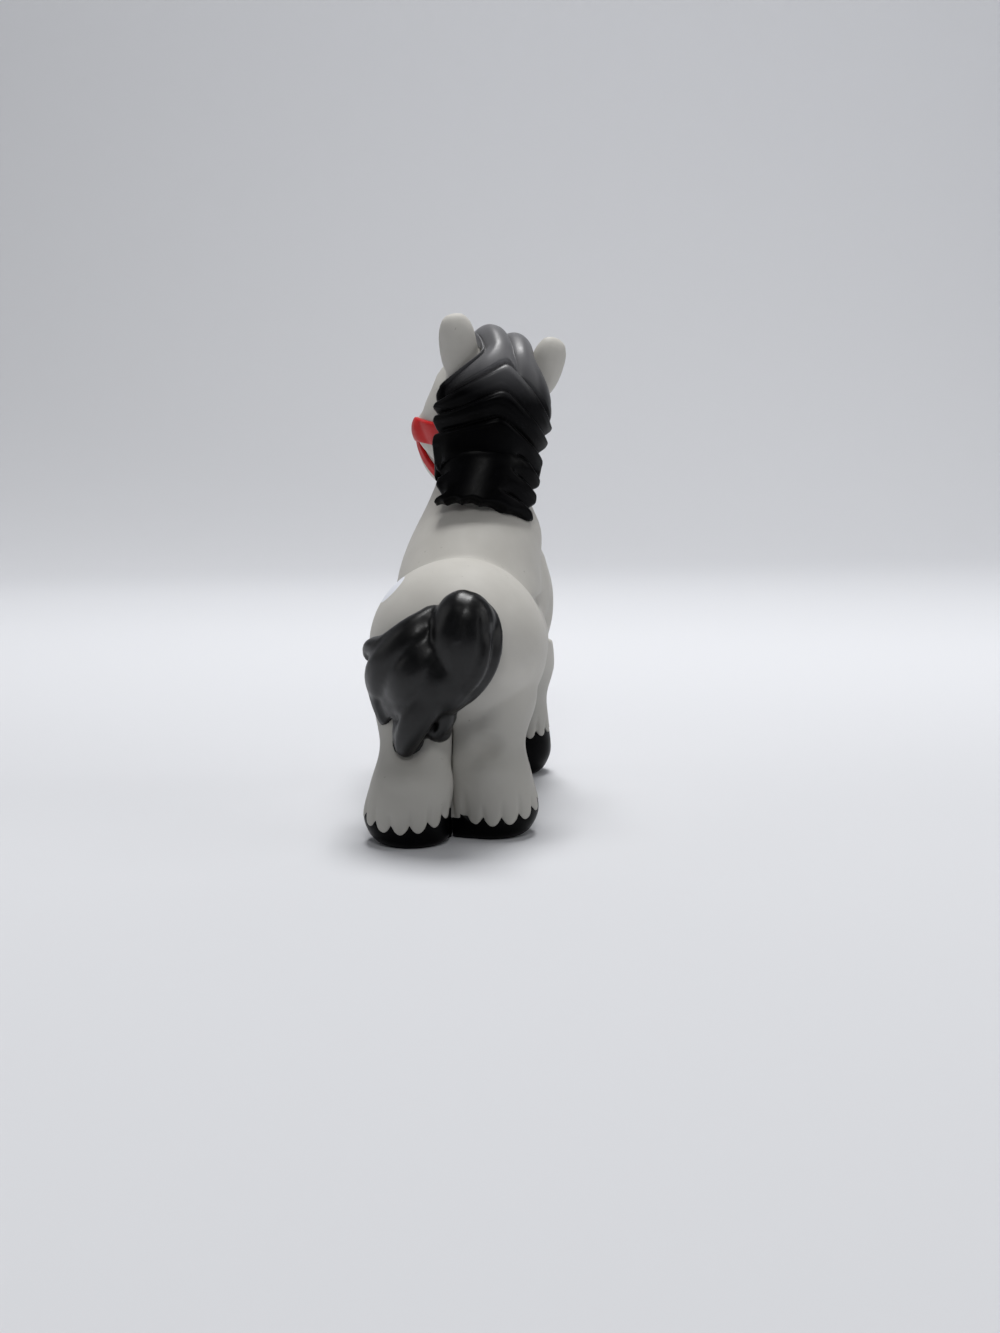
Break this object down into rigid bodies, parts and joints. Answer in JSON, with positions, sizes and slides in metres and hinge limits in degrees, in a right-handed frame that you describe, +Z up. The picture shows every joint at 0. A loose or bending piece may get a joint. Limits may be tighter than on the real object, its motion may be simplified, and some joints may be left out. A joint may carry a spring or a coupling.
{
  "type": "toy horse figure",
  "caption": "Chunky standing toy horse with its head turned to its left, a draped mane, a swept tail, scalloped hooves and a simple halter.",
  "frame": {"origin": "middle of the figure's bounding box in plan, on the floor under the hooves", "axes": "+Z up; the horse's body faces -Y and its left side is +X"},
  "size_m": [0.0296, 0.072, 0.0846],
  "materials": {
    "grey_vinyl": "matte moulded vinyl, light warm grey with white painted spots",
    "black_vinyl": "satin black moulded vinyl",
    "red_vinyl": "satin red moulded vinyl"
  },
  "bodies": {
    "root": {"body_left_shell": "grey_vinyl", "body_right_shell": "grey_vinyl", "halter": "red_vinyl", "hoof_front_left": "black_vinyl", "hoof_front_right": "black_vinyl", "hoof_rear_left": "black_vinyl", "hoof_rear_right": "black_vinyl", "mane": "black_vinyl", "tail": "black_vinyl"}
  },
  "joints": []
}
